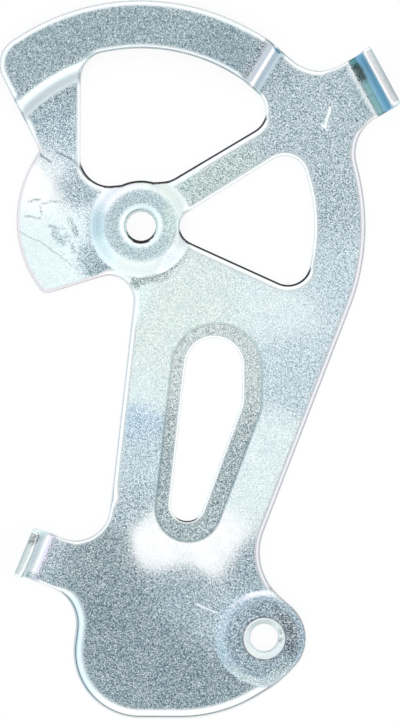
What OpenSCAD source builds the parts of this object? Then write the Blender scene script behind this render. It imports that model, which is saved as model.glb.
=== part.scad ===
// Derailleur cage plate: one stamped, joggled and folded sheet, lying on its back face.
// Origin: the hub bore's axis on the back face. +X is right, +Y runs away from the pulley boss,
// +Z is up from the back face to the side the bosses and tabs stand on. Lengths are millimetres.

/* [Sheet] */
// thickness of the blank
sheet_t = 1.6; // [1.2:0.05:2.5]
// radius inside the joggle bends
joggle_bend_r = 1.2; // [0.6:0.05:1.2]
// plan length of a joggle, flat to flat
joggle_run = 3.8; // [3.6:0.05:5]
// height of the guide rail above the body
rail_rise = 1.9; // [1:0.05:2.4]

/* [Guide rail] */
// outer radius of the guide rail about the hub
rail_outer_r = 39.1; // [36:0.1:44]
// inner radius of the guide rail about the hub
rail_inner_r = 30.85; // [28:0.05:33]
// corner radius at the free end of the rail
rail_end_r = 4.95; // [3:0.05:8]
// direction from the hub to the centre of that corner
rail_end_angle = 125; // [118:0.5:130]
// middle of the right joggle, where the rail comes down to the body
joggle_at = [21.4, 27.9]; // [10:0.1:40]
// direction of the right joggle's crease
joggle_turn = 58.55; // [45:0.05:75]

/* [Fan] */
// centre of the fan's outer edge
fan_at = [-1.75, 1]; // [-5:0.05:5]
// radius of the fan's outer edge
fan_r = 19.85; // [18:0.05:22]
// radius of the fan's lower corner
fan_corner_r = 1.65; // [0.8:0.05:4]
// direction from the fan's centre to its lower corner
fan_corner_angle = 217; // [210:0.5:225]
// centre of the notch between fan and spoke
fan_notch_at = [-18.15, 13.2]; // [-25:0.05:25]
// radius of the notch between fan and spoke
fan_notch_r = 0.45; // [0.3:0.05:1]
// distance from the hub to the fan's fold
fan_fold_at = 10.3; // [9.5:0.1:12]
// direction from the hub to the fan's fold
fan_fold_angle = 204; // [200:1:215]
// angle the fan is folded up by
fan_lift = 3; // [1:0.5:6]

/* [Body outline] */
// centre of the fillet under the fan
waist_at = [-5.65, -12.95]; // [-20:0.05:0]
// radius of the fillet under the fan
waist_r = 4.35; // [3:0.05:6]
// radius of the fillet above the lower tab
tail_neck_r = 6.1; // [4:0.05:8]
// how far inside the lower tab's crease that fillet is centred
tail_neck_in = 0.9; // [0:0.05:3]
// radius of the hollow below the lower tab
tail_hollow_r = 6.95; // [4:0.05:8]
// how far inside the lower tab's crease that hollow is centred
tail_hollow_in = 2.5; // [0:0.05:5]
// centre of the big bottom corner
heel_at = [-0.15, -74.1]; // [-80:0.05:10]
// radius of the big bottom corner
heel_r = 11.65; // [9:0.05:14]
// radius of the bottom edge beside the pulley boss
toe_r = 26.25; // [22:0.05:30]
// direction from the bottom edge's centre to the pulley boss
toe_angle = -39.5; // [-45:0.5:-35]
// centre of the hollow above the pulley boss
flank_at = [30.95, -56.8]; // [-60:0.05:35]
// radius of the hollow above the pulley boss
flank_r = 10.25; // [8:0.05:10.6]

/* [Hub boss] */
// clearance hole for an M5 screw
hub_bore_r = 2.55; // [2.2:0.05:3]
// radius of the rounded mouth of the hole
hub_mouth_r = 1.2; // [0.6:0.05:1.4]
// radius of the flat top of the boss
hub_top_r = 6.3; // [5.9:0.05:6.4]
// radius of the foot of the boss
hub_foot_r = 9; // [8.9:0.05:9.5]
// height of the boss above the body
hub_rise = 1.4; // [1:0.05:1.5]
// radius inside the boss's bends
hub_bend_r = 0.7; // [0.4:0.05:0.8]
// edge of the boss where the rail window meets it
hub_edge_r = 7.9; // [7.4:0.05:8.2]

/* [Pulley boss] */
// distance from the hub to the pulley hole
pulley_pitch = 74.8; // [70:0.1:80]
// direction from the hub to the pulley hole
pulley_angle = -73.35; // [-75:0.05:-72]
// tapping radius of the pulley hole (M6 x 1)
pulley_bore_r = 2.46; // [2.1:0.01:2.6]
// depth of the countersink at the pulley hole
countersink = 1.15; // [0.5:0.05:1.3]
// radius of the plate's edge round the pulley boss
pulley_lobe_r = 7.2; // [6.8:0.05:8]
// radius of the flat top of the boss
pulley_top_r = 6.8; // [6.4:0.05:6.85]
// radius of the foot of the boss
pulley_foot_r = 8.4; // [8.35:0.05:9]
// height of the boss above the body
pulley_rise = 0.8; // [0.6:0.05:0.9]
// radius inside the boss's bends
pulley_bend_r = 0.15; // [0.1:0.05:0.15]

/* [Drawn collars] */
// wall of the collar drawn down inside each boss
collar_t = 0.9; // [0.7:0.05:1.2]
// fillet between collar and boss
collar_fillet_r = 0.3; // [0.1:0.05:0.4]

/* [Tabs] */
// radius inside the tab folds
tab_bend_r = 2.5; // [1.6:0.05:3]
// height of the tabs above the back face
tab_h = 8; // [6:0.1:12]
// direction the upper tab faces
upper_tab_angle = 28.45; // [25:0.05:31]
// distance from the hub to the upper tab's crease
upper_tab_out = 45.1; // [43:0.1:47]
// how far the upper tab sits above the line to the hub
upper_tab_shift = 2.6; // [0:0.1:5]
// width of the upper tab
upper_tab_w = 11; // [9:0.1:13]
// radius of the fillets beside the upper tab
upper_neck_r = 7.2; // [6:0.1:8.5]
// direction the lower tab faces
lower_tab_angle = 157.45; // [150:0.05:165]
// middle of the lower tab's crease
lower_tab_at = [-16.3, -57.95]; // [-60:0.05:0]
// width of the lower tab
lower_tab_w = 8.6; // [7:0.1:10]

/* [Rail window] */
// direction from the hub to its upper left corner
window_top_angle = 102.7; // [98:0.1:106]
// radius of its upper left corner
window_top_r = 4.85; // [3:0.05:5]
// centre of its lower left corner
window_low_at = [-5.4, 12.2]; // [-10:0.05:20]
// radius of its lower corners
window_low_r = 5.2; // [4:0.05:5.5]
// centre of the bend in its lower edge
window_bend_at = [3.3, 12.9]; // [0:0.05:15]
// direction from the hub to its right corner
window_tip_angle = 48.8; // [46:0.1:52]
// radius of its right corner
window_tip_r = 4.1; // [3:0.05:5]

/* [Triangle window] */
// radius of its outer edge about the hub
triangle_r = 30.2; // [29:0.05:31]
// direction from the hub to its upper corner
triangle_top_angle = 18.75; // [15:0.05:22]
// radius of its upper corner
triangle_top_r = 3.8; // [3:0.05:4.5]
// direction from the hub to its lower corner
triangle_low_angle = -13.85; // [-18:0.05:-10]
// radius of its lower corner
triangle_low_r = 3.9; // [3:0.05:4.5]
// centre of its inner tip
triangle_tip_at = [9.85, -0.05]; // [-1:0.05:12]
// radius of its inner tip
triangle_tip_r = 3.1; // [2.5:0.05:3.2]

/* [Slot and ledge] */
// centre of the slot's upper end
slot_top_at = [12.7, -24.35]; // [-26:0.05:14]
// radius of the slot's upper end
slot_top_r = 4.9; // [4:0.05:6]
// centre of the slot's shoulder
slot_side_at = [14.3, -30.25]; // [-32:0.05:16]
// radius of the slot's shoulder
slot_side_r = 3.25; // [2.5:0.05:4]
// centre of the slot's lower end
slot_low_at = [8, -48.5]; // [-50:0.05:10]
// radius of the slot's lower end
slot_low_r = 2.85; // [2:0.05:4]
// depth of the sunk ledge round the slot
ledge_depth = 0.45; // [0.2:0.05:0.8]
// centre of the ledge's upper end
ledge_top_at = [13.15, -24.8]; // [-26:0.05:14]
// radius of the ledge's upper end
ledge_top_r = 7.9; // [6:0.05:9]
// centre of the ledge's shoulder
ledge_side_at = [16.7, -30.9]; // [-33:0.05:18]
// radius of the ledge's shoulder
ledge_side_r = 4.35; // [3:0.05:6]
// centre of the ledge's lower end
ledge_low_at = [8.25, -49.2]; // [-51:0.05:10]
// radius of the ledge's lower end
ledge_low_r = 5.75; // [4:0.05:7]

/* [Hidden] */
$fn = 96;
// Gap left between arcs that would just touch, so a short straight edge joins them.
blend_gap = 0.03;
// Arcs stand this proud of the straight edges, so that they cross them and never only touch.
lap = 0.002;
// Inner end of the clip round such an arc, as a share of its radius.
arc_clip_depth = 0.97;
// Overlap of each formed zone with the flat beside it.
seam = 0.3;
// How far a cutter or clip runs past what it cuts.
past = 1;
// Length of the clips that take in a whole side of the plate.
reach = rail_outer_r + past;
clip_h = tab_h + past;
tab_out = tab_bend_r + sheet_t;
rail_foot_r = rail_inner_r - joggle_run;
// Half length of the right joggle's crease, enough to cross the rail.
joggle_half = (rail_outer_r - rail_inner_r) / 2 + 2 * past;
upper_low_end = upper_tab_w / 2 - upper_tab_shift;
upper_high_end = -upper_tab_w / 2 - upper_tab_shift;

function polar(r, a) = [r * cos(a), r * sin(a)];

// A chain is a closed list of circles [x, y, r], walked with the material on the left.
// A hollow has a negative radius and a sharp corner has none.
function circle_at(p, r) = [p[0], p[1], r];

// Direction of the straight edge from circle a to circle b.
function heading(a, b) =
    atan2(b[1] - a[1], b[0] - a[0])
    + asin(max(-1, min(1, (a[2] - b[2]) / norm([b[0] - a[0], b[1] - a[1]]))));

// Point where an edge of that direction touches the circle.
function touch(c, a) = [c[0] + c[2] * sin(a), c[1] - c[2] * cos(a)];

// Ends of all the straight edges of a chain.
function belt(chain) = [
    for (i = [0:len(chain) - 1])
        let (a = chain[i], b = chain[(i + 1) % len(chain)], h = heading(a, b))
            each [touch(a, h), touch(b, h)]
];

// A point given across and out from the hub, in the upper tab's directions.
function upper_point(across, out) = polar(out, upper_tab_angle) + polar(across, upper_tab_angle - 90);

// Fillet between the plate's round edge and the side of the upper tab.
function upper_neck(end, side) =
    let (across = end + side * upper_neck_r, to_hub = rail_outer_r + upper_neck_r + blend_gap)
        circle_at(upper_point(across, sqrt(pow(to_hub, 2) - pow(across, 2))), -upper_neck_r);

// A point given across and out from the middle of the lower tab's crease.
function lower_point(across, out) =
    lower_tab_at + polar(out, lower_tab_angle) + polar(across, lower_tab_angle + 90);

pulley_at = polar(pulley_pitch, pulley_angle);
hub_arc = [0, 0, rail_outer_r];
// The fan's fold ends beside the centre of the fillet under the fan.
fan_fold_end = waist_at * polar(1, fan_fold_angle + 90);

outline_chain = [
    hub_arc,
    upper_neck(upper_low_end, 1),
    circle_at(upper_point(upper_low_end, upper_tab_out + tab_out + past), 0),
    circle_at(upper_point(upper_high_end, upper_tab_out + tab_out + past), 0),
    upper_neck(upper_high_end, -1),
    hub_arc,
    circle_at(polar(rail_outer_r - rail_end_r + blend_gap, rail_end_angle), rail_end_r),
    circle_at(fan_notch_at, -fan_notch_r),
    circle_at(fan_at, fan_r),
    circle_at(fan_at + polar(fan_r - fan_corner_r + blend_gap, fan_corner_angle), fan_corner_r),
    circle_at(waist_at, -waist_r),
    circle_at(lower_point(-lower_tab_w / 2 - tail_neck_r, -tail_neck_in), -tail_neck_r),
    circle_at(lower_point(-lower_tab_w / 2, tab_out + past), 0),
    circle_at(lower_point(lower_tab_w / 2, tab_out + past), 0),
    circle_at(lower_point(lower_tab_w / 2 + tail_hollow_r, -tail_hollow_in), -tail_hollow_r),
    circle_at(heel_at, heel_r),
    circle_at(pulley_at - polar(toe_r - pulley_lobe_r + blend_gap, toe_angle), toe_r),
    circle_at(pulley_at, pulley_lobe_r),
    circle_at(flank_at, -flank_r)
];

window_chain = [
    [0, 0, rail_inner_r],
    circle_at(polar(rail_inner_r - window_top_r + blend_gap, window_top_angle), window_top_r),
    circle_at(window_low_at, window_low_r),
    circle_at(window_bend_at, window_low_r),
    circle_at(polar(rail_inner_r - window_tip_r + blend_gap, window_tip_angle), window_tip_r)
];

triangle_chain = [
    [0, 0, triangle_r],
    circle_at(polar(triangle_r - triangle_top_r + blend_gap, triangle_top_angle), triangle_top_r),
    circle_at(triangle_tip_at, triangle_tip_r),
    circle_at(polar(triangle_r - triangle_low_r + blend_gap, triangle_low_angle), triangle_low_r)
];

slot_chain = [
    circle_at(slot_low_at, slot_low_r),
    circle_at(slot_side_at, slot_side_r),
    circle_at(slot_top_at, slot_top_r)
];

ledge_chain = [
    circle_at(ledge_low_at, ledge_low_r),
    circle_at(ledge_side_at, ledge_side_r),
    circle_at(ledge_top_at, ledge_top_r)
];

// Section of a double bend that lifts the sheet by rise over run, from left to right.
function joggle_chain(run, rise, r) = [
    [-seam, 0, 0],
    [0, sheet_t + r, sheet_t + r],
    [run, rise - r, -r],
    [run + seam, rise, 0],
    [run + seam, rise + sheet_t, 0],
    [run, rise - r, sheet_t + r],
    [0, sheet_t + r, -r],
    [-seam, sheet_t, 0]
];

// Section of a tab: the fold, then the wall that stands up from it.
tab_chain = [
    [-seam, 0, 0],
    [0, tab_out, tab_out],
    [tab_out, tab_h, 0],
    [tab_bend_r, tab_h, 0],
    [0, tab_out, -tab_bend_r],
    [-seam, sheet_t, 0]
];

// Half section of a boss with its drawn collar, up to the mouth of its hole.
function boss_chain(bore_r, top_r, foot_r, rise, r, mouth) = concat(
    [
        [bore_r, 0, 0],
        [bore_r + collar_t, 0, 0],
        [bore_r + collar_t + collar_fillet_r, rise - collar_fillet_r, -collar_fillet_r],
        [top_r, rise - r, -r],
        [foot_r, sheet_t + r, sheet_t + r],
        [foot_r + seam, 0, 0],
        [foot_r + seam, sheet_t, 0],
        [foot_r, sheet_t + r, -r],
        [top_r, rise - r, sheet_t + r]
    ],
    mouth
);

hub_mouth = [[hub_bore_r + hub_mouth_r, hub_rise + sheet_t - hub_mouth_r, hub_mouth_r]];
pulley_mouth = [
    [pulley_bore_r + countersink, pulley_rise + sheet_t, 0],
    [pulley_bore_r, pulley_rise + sheet_t - countersink, 0]
];

// Area that takes in a circle's arc between two edges, and just enough past both ends to cross them.
module arc_clip(c, from, sweep) {
    steps = 3;
    spare = acos(1 - 4 * lap / c[2]);
    polygon([
        for (i = [-1:steps + 1])
            let (
                k = max(0, min(steps, i)),
                r = (k == i) ? 2 * c[2] : arc_clip_depth * c[2]
            )
                [c[0], c[1]] + polar(r, from - spare + k * (sweep + 2 * spare) / steps)
    ]);
}

// Area inside a chain: its straight edges, with the round corners added and the hollows cut.
module chain_area(chain) {
    n = len(chain);
    difference() {
        union() {
            polygon(belt(chain));
            for (i = [0:n - 1])
                if (chain[i][2] > 0) {
                    from = heading(chain[(i + n - 1) % n], chain[i]);
                    to = heading(chain[i], chain[(i + 1) % n]);
                    intersection() {
                        translate([chain[i][0], chain[i][1]])
                            circle(r = chain[i][2] + lap);
                        arc_clip(chain[i], from - 90, (to - from + 720) % 360);
                    }
                }
        }
        for (c = chain)
            if (c[2] < 0)
                translate([c[0], c[1]])
                    circle(r = lap - c[2]);
    }
}

module plate_area() {
    difference() {
        chain_area(outline_chain);
        difference() {
            chain_area(window_chain);
            circle(r = hub_edge_r);
        }
        chain_area(triangle_chain);
        chain_area(slot_chain);
    }
}

// Keeps the part of a formed zone that lies inside the plate's outline and openings.
module trimmed() {
    intersection() {
        linear_extrude(clip_h)
            plate_area();
        children();
    }
}

// Side of the right joggle that belongs to the rail, from the given distance past its middle.
module rail_side(from) {
    translate(joggle_at)
        rotate(joggle_turn + 90)
            translate([from, -reach])
                square([2 * reach, 2 * reach]);
}

module fan_side() {
    rotate(fan_fold_angle)
        translate([fan_fold_at, fan_fold_end - reach])
            square([reach, reach]);
}

module tab_side(w) {
    translate([0, -w / 2 - past])
        square([tab_out + 2 * past, w + 2 * past]);
}

module at_upper_tab() {
    translate(upper_point(-upper_tab_shift, upper_tab_out))
        rotate(upper_tab_angle)
            children();
}

module at_lower_tab() {
    translate(lower_tab_at)
        rotate(lower_tab_angle)
            children();
}

module body_flat() {
    linear_extrude(sheet_t)
        difference() {
            plate_area();
            difference() {
                rail_side(-joggle_run / 2);
                circle(r = rail_foot_r);
            }
            fan_side();
            at_upper_tab() tab_side(upper_tab_w);
            at_lower_tab() tab_side(lower_tab_w);
            circle(r = hub_foot_r);
            translate(pulley_at)
                circle(r = pulley_foot_r);
        }
}

module rail_flat() {
    translate([0, 0, rail_rise])
        linear_extrude(sheet_t)
            intersection() {
                plate_area();
                difference() {
                    rail_side(joggle_run / 2);
                    circle(r = rail_inner_r);
                }
            }
}

// The left spoke climbs to the rail along a ramp that is round about the hub.
module spoke_joggle() {
    trimmed()
        rotate_extrude(angle = 180 - window_top_angle, start = window_top_angle)
            translate([rail_foot_r, 0])
                chain_area(joggle_chain(joggle_run, rail_rise, joggle_bend_r));
}

// The rail's right end comes down to the body along a straight ramp.
module rail_joggle() {
    trimmed()
        translate(joggle_at)
            rotate([90, 0, joggle_turn + 90])
                translate([-joggle_run / 2, 0, -joggle_half])
                    linear_extrude(2 * joggle_half)
                        chain_area(joggle_chain(joggle_run, rail_rise, joggle_bend_r));
}

module fan() {
    trimmed()
        rotate([0, 0, fan_fold_angle])
            translate([fan_fold_at, 0, 0])
                rotate([0, -fan_lift, 0])
                    translate([-seam, fan_fold_end - reach, 0])
                        cube([reach, reach, sheet_t]);
}

module tab_fold(w) {
    rotate([90, 0, 0])
        translate([0, 0, -w / 2 - past])
            linear_extrude(w + 2 * past)
                chain_area(tab_chain);
}

module upper_tab() {
    trimmed()
        at_upper_tab()
            tab_fold(upper_tab_w);
}

module lower_tab() {
    trimmed()
        at_lower_tab()
            tab_fold(lower_tab_w);
}

module hub_boss() {
    trimmed()
        rotate_extrude()
            chain_area(boss_chain(hub_bore_r, hub_top_r, hub_foot_r, hub_rise, hub_bend_r, hub_mouth));
}

module pulley_boss() {
    trimmed()
        translate(pulley_at)
            rotate_extrude()
                chain_area(boss_chain(
                    pulley_bore_r, pulley_top_r, pulley_foot_r, pulley_rise, pulley_bend_r, pulley_mouth
                ));
}

module cage_plate() {
    color("silver")
        difference() {
            union() {
                body_flat();
                rail_flat();
                spoke_joggle();
                rail_joggle();
                fan();
                upper_tab();
                lower_tab();
                hub_boss();
                pulley_boss();
            }
            translate([0, 0, sheet_t - ledge_depth])
                linear_extrude(past)
                    chain_area(ledge_chain);
        }
}

cage_plate();
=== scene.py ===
"""Looks of the derailleur cage plate: one stamped and folded sheet of bright zinc-plated steel.

The plain solid is replaced by a finer mesh of the same plate, with the rolled front edges,
the cut thread and the coating, into whose colour light and shade are partly painted. The mesh
starts as a flat pattern, which is then pressed and folded. Sizes are millimetres and angles
are degrees, and they match the solid.
"""
import math

import bmesh
import bpy
import numpy as np
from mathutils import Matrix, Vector
from mathutils.geometry import delaunay_2d_cdt
from mathutils.kdtree import KDTree


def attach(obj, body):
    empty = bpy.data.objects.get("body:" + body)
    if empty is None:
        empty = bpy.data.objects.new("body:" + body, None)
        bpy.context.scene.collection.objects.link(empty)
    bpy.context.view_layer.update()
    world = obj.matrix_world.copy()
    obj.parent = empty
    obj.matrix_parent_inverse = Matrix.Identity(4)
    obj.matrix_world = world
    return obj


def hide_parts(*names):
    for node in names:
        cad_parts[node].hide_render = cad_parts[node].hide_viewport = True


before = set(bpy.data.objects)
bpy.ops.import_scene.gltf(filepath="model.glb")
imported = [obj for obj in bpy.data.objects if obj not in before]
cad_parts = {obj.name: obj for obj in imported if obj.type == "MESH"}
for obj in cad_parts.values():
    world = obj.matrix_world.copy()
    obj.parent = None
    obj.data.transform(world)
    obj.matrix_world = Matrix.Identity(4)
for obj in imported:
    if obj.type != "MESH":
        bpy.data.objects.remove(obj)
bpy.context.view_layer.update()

MM = 0.001

# The sheet, its guide rail and the joggles
SHEET = 1.6
RAIL_OUTER, RAIL_INNER, RAIL_END_R = 39.1, 30.85, 4.95
JOGGLE_R, JOGGLE_RUN, RAIL_RISE = 1.2, 3.8, 1.9
JOGGLE_AT, JOGGLE_TURN = (21.4, 27.9), 58.55

# The fan, the notch above it and the waist below it
FAN_AT, FAN_R, FAN_CORNER_R = (-1.75, 1), 19.85, 1.65
FAN_FOLD_AT, FAN_FOLD_ANGLE, FAN_LIFT, FAN_BEND = 10.3, 204.0, 3.0, 1.2
NOTCH_AT, NOTCH_R = (-18.15, 13.2), 0.45
WAIST_AT, WAIST_R = (-5.65, -12.95), 4.35

# The bosses: radii of the bore, of the flat top and of the foot, and how far the front is softened
HUB_AT, HUB_EDGE = (0.0, 0.0), 7.9
HUB = dict(bore=2.55, mouth=1.2, top=6.3, foot=9.0, rise=1.4, bend=0.7, soft=0.3)
PULLEY = dict(bore=2.46, sink=1.15, top=6.8, foot=8.4, rise=0.8, bend=0.15, soft=0.35)
PULLEY_PITCH, PULLEY_TURN, PULLEY_LOBE = 74.8, -73.35, 7.2
COLLAR, COLLAR_FILLET = 0.9, 0.3
THREAD_PITCH, THREAD_DEPTH, THREAD_ROWS = 1.0, 0.5, 18

# The tabs
TAB_R, TAB_H, TAB_CORNER = 2.5, 8.0, 0.5
UPPER_TAB = dict(angle=28.45, out=45.1, shift=2.6, w=11.0, neck=7.2)
LOWER_TAB = dict(angle=157.45, at=(-16.3, -57.95), w=8.6)
TAB_OUT = TAB_R + SHEET
NEUTRAL = TAB_R + SHEET / 2
BEND_LEN = NEUTRAL * math.pi / 2
TAB_LEN = BEND_LEN + TAB_H - TAB_OUT

LEDGE_DEPTH, LEDGE_SLOPE = 0.45, 0.32
# Distance kept between a corner's circle and the large arc that it runs into
GAP = 0.03
# How far beside a tab the sheet folds with it
TAB_MARGIN = 0.6


def polar(length, degrees):
    turn = math.radians(degrees)
    return np.array([length * math.cos(turn), length * math.sin(turn)])


def circle(centre, r):
    return (float(centre[0]), float(centre[1]), float(r))


def smooth(t):
    t = np.clip(t, 0, 1)
    return t * t * (3 - 2 * t)


def band(v, lo, hi, soft):
    """1 from lo to hi, with soft ends."""
    return smooth((v - lo) / soft + 0.5) * smooth((hi - v) / soft + 0.5)


def round_band(azimuth, lo, hi, soft):
    """1 between two directions, with soft ends."""
    off = np.abs((azimuth - (lo + hi) / 2 + 180) % 360 - 180)
    return smooth(((hi - lo) / 2 - off) / soft + 0.5)


def blend(base, colour, share):
    return base + (np.array(colour) - base) * np.asarray(share)[:, None]


def distance(p, centre):
    return np.hypot(p[:, 0] - centre[0], p[:, 1] - centre[1])


def upper_point(across, out):
    return polar(out, UPPER_TAB["angle"]) + polar(across, UPPER_TAB["angle"] - 90)


def lower_point(across, out):
    sideways = polar(across, LOWER_TAB["angle"] + 90)
    return np.array(LOWER_TAB["at"]) + polar(out, LOWER_TAB["angle"]) + sideways


def upper_neck(end, side):
    """The hollow beside the upper tab, tangent to the rail's arc and to the tab's edge."""
    r = UPPER_TAB["neck"]
    across, to_hub = end + side * r, RAIL_OUTER + r + GAP
    return circle(upper_point(across, math.sqrt(to_hub ** 2 - across ** 2)), -r)


def tab_corner(point, across, out):
    """The rounded corner of a tab whose side edge lies at across, on either side of 0."""
    inward = TAB_CORNER if across < 0 else -TAB_CORNER
    return circle(point(across + inward, out + TAB_LEN - TAB_CORNER), TAB_CORNER)


PULLEY_AT = polar(PULLEY_PITCH, PULLEY_TURN)
UP_LOW = UPPER_TAB["w"] / 2 - UPPER_TAB["shift"]
UP_HIGH = -UPPER_TAB["w"] / 2 - UPPER_TAB["shift"]
HALF_LOW = LOWER_TAB["w"] / 2
# Each tab: middle of its crease, direction and half width
TABS = ((upper_point(-UPPER_TAB["shift"], UPPER_TAB["out"]), UPPER_TAB["angle"], UPPER_TAB["w"] / 2),
        (LOWER_TAB["at"], LOWER_TAB["angle"], HALF_LOW))
BOSSES = ((HUB_AT, HUB), (PULLEY_AT, PULLEY))

# Chains of circles [x, y, r], walked with the inside on the left. A hollow has a negative radius.
HUB_ARC = circle(HUB_AT, RAIL_OUTER)
OUTLINE = [
    HUB_ARC,
    upper_neck(UP_LOW, 1),
    tab_corner(upper_point, UP_LOW, UPPER_TAB["out"]),
    tab_corner(upper_point, UP_HIGH, UPPER_TAB["out"]),
    upper_neck(UP_HIGH, -1),
    HUB_ARC,
    circle(polar(RAIL_OUTER - RAIL_END_R + GAP, 125), RAIL_END_R),
    circle(NOTCH_AT, -NOTCH_R),
    circle(FAN_AT, FAN_R),
    circle(np.array(FAN_AT) + polar(FAN_R - FAN_CORNER_R + GAP, 217), FAN_CORNER_R),
    circle(WAIST_AT, -WAIST_R),
    circle(lower_point(-HALF_LOW - 6.1, -0.9), -6.1),
    tab_corner(lower_point, -HALF_LOW, 0),
    tab_corner(lower_point, HALF_LOW, 0),
    circle(lower_point(HALF_LOW + 6.95, -2.5), -6.95),
    circle((-0.15, -74.1), 11.65),
    circle(PULLEY_AT - polar(26.25 - PULLEY_LOBE + GAP, -39.5), 26.25),
    circle(PULLEY_AT, PULLEY_LOBE),
    circle((30.95, -56.8), -10.25),
]
WINDOW = [
    circle(HUB_AT, RAIL_INNER),
    circle(polar(RAIL_INNER - 4.85 + GAP, 102.7), 4.85),
    circle((-5.4, 12.2), 5.2),
    circle((3.3, 12.9), 5.2),
    circle(polar(RAIL_INNER - 4.1 + GAP, 48.8), 4.1),
]
TRIANGLE_R = 30.2
TRIANGLE = [
    circle(HUB_AT, TRIANGLE_R),
    circle(polar(TRIANGLE_R - 3.8 + GAP, 18.75), 3.8),
    circle((9.85, -0.05), 3.1),
    circle(polar(TRIANGLE_R - 3.9 + GAP, -13.85), 3.9),
]
SLOT = [circle((8, -48.5), 2.85), circle((14.3, -30.25), 3.25), circle((12.7, -24.35), 4.9)]
LEDGE = [circle((8.25, -49.2), 5.75), circle((16.7, -30.9), 4.35), circle((13.15, -24.8), 7.9)]


def heading(a, b):
    """Direction of the line that touches two circles of a chain."""
    dx, dy = b[0] - a[0], b[1] - a[1]
    lean = max(-1.0, min(1.0, (a[2] - b[2]) / math.hypot(dx, dy)))
    return math.atan2(dy, dx) + math.asin(lean)


def walk(chain, step):
    """Points round a chain, each with the normal that points to its right, away from the inside."""
    rows = []
    for i, (x, y, r) in enumerate(chain):
        after = chain[(i + 1) % len(chain)]
        start, end = heading(chain[i - 1], chain[i]), heading(chain[i], after)
        sweep = (end - start) % math.tau if r >= 0 else -((start - end) % math.tau)
        count = max(1, math.ceil(abs(sweep * r) / step), math.ceil(abs(math.degrees(sweep)) / 12))
        for j in range(count + 1):
            turn = start + sweep * j / count
            nx, ny = math.sin(turn), -math.cos(turn)
            rows.append((x + r * nx, y + r * ny, nx, ny))
        nx, ny = math.sin(end), -math.cos(end)
        leave = np.array([x + r * nx, y + r * ny])
        line = np.array([after[0] + after[2] * nx, after[1] + after[2] * ny]) - leave
        count = math.ceil(np.linalg.norm(line) / step)
        rows += [(*(leave + line * j / count), nx, ny) for j in range(1, count)]
    pts = np.array(rows)
    apart = np.linalg.norm(pts[:, :2] - np.roll(pts[:, :2], 1, axis=0), axis=1)
    return pts[apart > 0.02]


def ring(centre, r, count):
    """Points round a circle, each with the normal that points to its middle."""
    turn = np.arange(count) * math.tau / count
    c, s = np.cos(turn), np.sin(turn)
    return np.stack([centre[0] + r * c, centre[1] + r * s, -c, -s], 1)


def window_loop(step):
    """The rail window, with the hub's round edge standing into its lower side."""
    pts = walk(WINDOW, step)
    pts[:, 2:] *= -1
    inside = distance(pts, HUB_AT) < HUB_EDGE
    start = int(np.argmax(inside & ~np.roll(inside, 1)))
    pts, inside = np.roll(pts, -start, axis=0), np.roll(inside, -start)
    cut = int(inside.sum())
    before, after = pts[-1], pts[cut]
    first, last = math.atan2(before[1], before[0]), math.atan2(after[1], after[0])
    count = math.ceil(abs(last - first) * HUB_EDGE / step)
    turn = first + (last - first) * (np.arange(count - 1) + 1) / count
    c, s = np.cos(turn), np.sin(turn)
    return np.vstack([np.stack([HUB_EDGE * c, HUB_EDGE * s, c, s], 1), pts[cut:]])


def opening_loop(chain, step):
    pts = walk(chain, step)
    pts[:, 2:] *= -1
    return pts


def double_bend(v, run, rise, r, top):
    """Height of a double bend at v along its run, above the flat that it starts from."""
    reach = math.hypot(run, SHEET + 2 * r - rise)
    slope = math.asin((SHEET + 2 * r) / reach) - math.atan2(SHEET + 2 * r - rise, run)
    r1, r2 = (r, SHEET + r) if top else (SHEET + r, r)
    v1, v2 = r1 * math.sin(slope), run - r2 * math.sin(slope)
    v = np.asarray(v, float)
    low = r1 - np.sqrt(np.clip(r1 ** 2 - np.clip(v, 0, r1) ** 2, 0, None))
    middle = r1 - r1 * math.cos(slope) + (v - v1) * math.tan(slope)
    high = rise - r2 + np.sqrt(np.clip(r2 ** 2 - np.clip(run - v, 0, r2) ** 2, 0, None))
    out = np.where(v < v1, low, np.where(v < v2, middle, high))
    return np.where(v <= 0, 0.0, np.where(v >= run, rise, out))


def rail_climb(x, y):
    """Distance up the joggle towards the rail, the lesser of the round and the straight one."""
    uphill = polar(1, JOGGLE_TURN + 90)
    curved = np.hypot(x, y) - (RAIL_INNER - JOGGLE_RUN)
    straight = (x - JOGGLE_AT[0]) * uphill[0] + (y - JOGGLE_AT[1]) * uphill[1] + JOGGLE_RUN / 2
    return np.where(y > 0, np.minimum(curved, straight), -1.0)


def fan_reach(x, y):
    """Distance past the fan's fold, on the fan's side of the waist."""
    out, along = polar(1, FAN_FOLD_ANGLE), polar(1, FAN_FOLD_ANGLE + 90)
    past = x * out[0] + y * out[1] - FAN_FOLD_AT
    return np.where(x * along[0] + y * along[1] < np.array(WAIST_AT) @ along, past, -1.0)


def inside_chain(x, y, chain):
    """Signed distance to the edge of a convex chain, positive inside."""
    out = np.full(np.shape(x), np.inf)
    for i, c in enumerate(chain):
        turn = heading(c, chain[(i + 1) % len(chain)])
        nx, ny = math.sin(turn), -math.cos(turn)
        out = np.minimum(out, (c[0] + c[2] * nx - x) * nx + (c[1] + c[2] * ny - y) * ny)
    for i, c in enumerate(chain):
        start, end = heading(chain[i - 1], c), heading(c, chain[(i + 1) % len(chain)])
        turn = np.arctan2(y - c[1], x - c[0]) - (start - math.pi / 2)
        by_corner = (turn % math.tau) < ((end - start) % math.tau)
        out = np.where(by_corner, np.minimum(out, c[2] - np.hypot(x - c[0], y - c[1])), out)
    return out


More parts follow.
